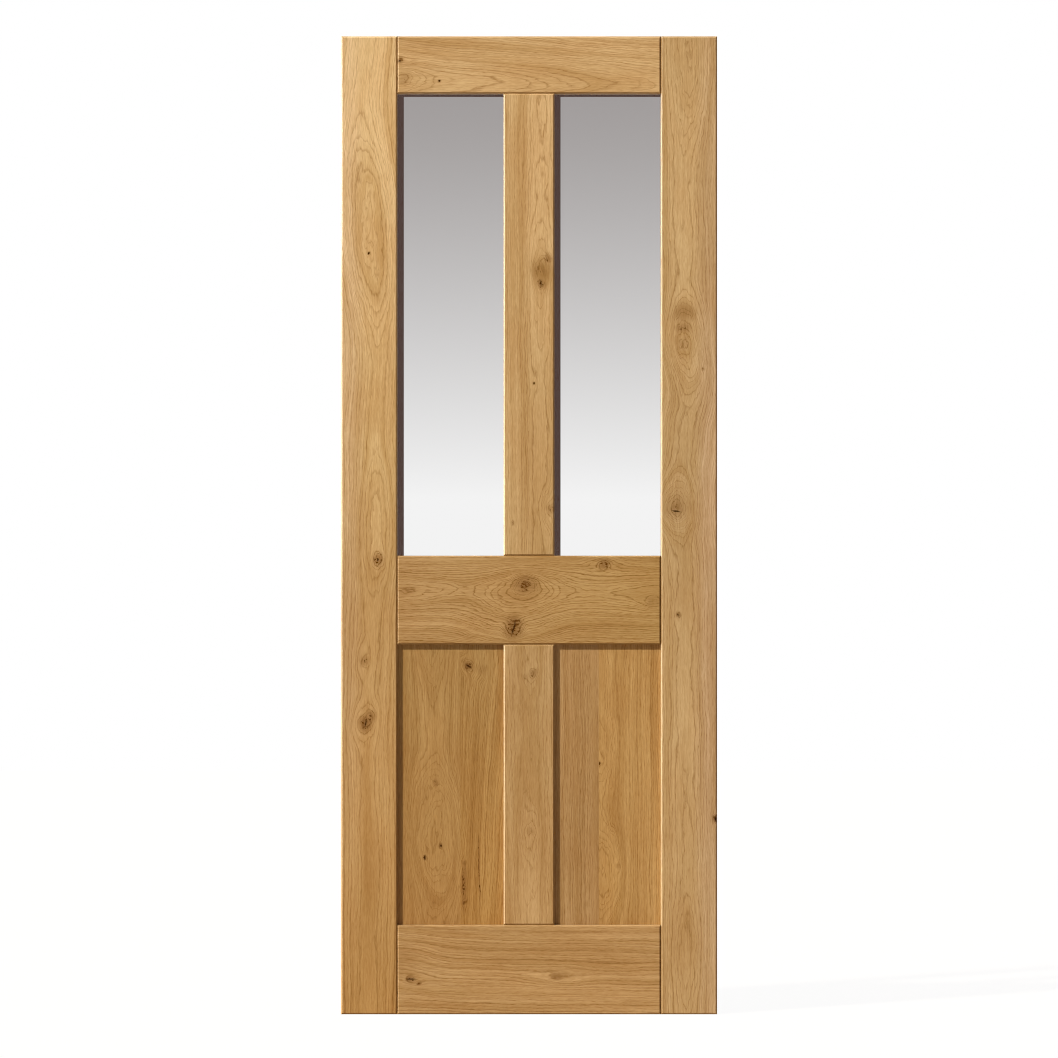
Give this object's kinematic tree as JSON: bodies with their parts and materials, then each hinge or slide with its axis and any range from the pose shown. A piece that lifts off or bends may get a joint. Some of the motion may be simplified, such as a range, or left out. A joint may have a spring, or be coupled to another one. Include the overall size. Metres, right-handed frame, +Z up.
{
  "type": "glazed interior door leaf",
  "caption": "Square-edged oak interior door leaf with tall clear panes over flat boarded panels, beaded at the back, not yet hung.",
  "frame": {"origin": "on the hanging edge (the left edge seen from the front), at the foot of the leaf, half way through its thickness", "axes": "+X across the leaf from the hanging edge to the closing edge, +Y through it from the front to the beaded back, +Z up"},
  "size_m": [0.762, 0.035, 1.981],
  "materials": {
    "stile_oak": "satin lacquered oak",
    "rail_oak": "satin lacquered oak",
    "muntin_oak": "satin lacquered oak",
    "panel_oak": "satin lacquered oak",
    "lipping_oak": "satin lacquered oak",
    "bead_oak": "satin lacquered oak",
    "clear_glass": "polished clear float glass",
    "glazing_seal": "matt brown sealing tape"
  },
  "bodies": {
    "root": {"left_stile": "stile_oak", "right_stile": "stile_oak", "left_edge_lipping": "lipping_oak", "right_edge_lipping": "lipping_oak", "top_rail": "rail_oak", "lock_rail": "rail_oak", "bottom_rail": "rail_oak", "upper_muntin": "muntin_oak", "lower_muntin": "muntin_oak", "left_panel_left_board": "panel_oak", "left_panel_right_board": "panel_oak", "right_panel_left_board": "panel_oak", "right_panel_right_board": "panel_oak", "left_pane": "clear_glass", "right_pane": "clear_glass", "left_pane_left_bead": "bead_oak", "left_pane_left_seal": "glazing_seal", "left_pane_right_bead": "bead_oak", "left_pane_right_seal": "glazing_seal", "left_pane_bottom_bead": "bead_oak", "left_pane_bottom_seal": "glazing_seal", "left_pane_top_bead": "bead_oak", "left_pane_top_seal": "glazing_seal", "right_pane_left_bead": "bead_oak", "right_pane_left_seal": "glazing_seal", "right_pane_right_bead": "bead_oak", "right_pane_right_seal": "glazing_seal", "right_pane_bottom_bead": "bead_oak", "right_pane_bottom_seal": "glazing_seal", "right_pane_top_bead": "bead_oak", "right_pane_top_seal": "glazing_seal"}
  },
  "joints": []
}
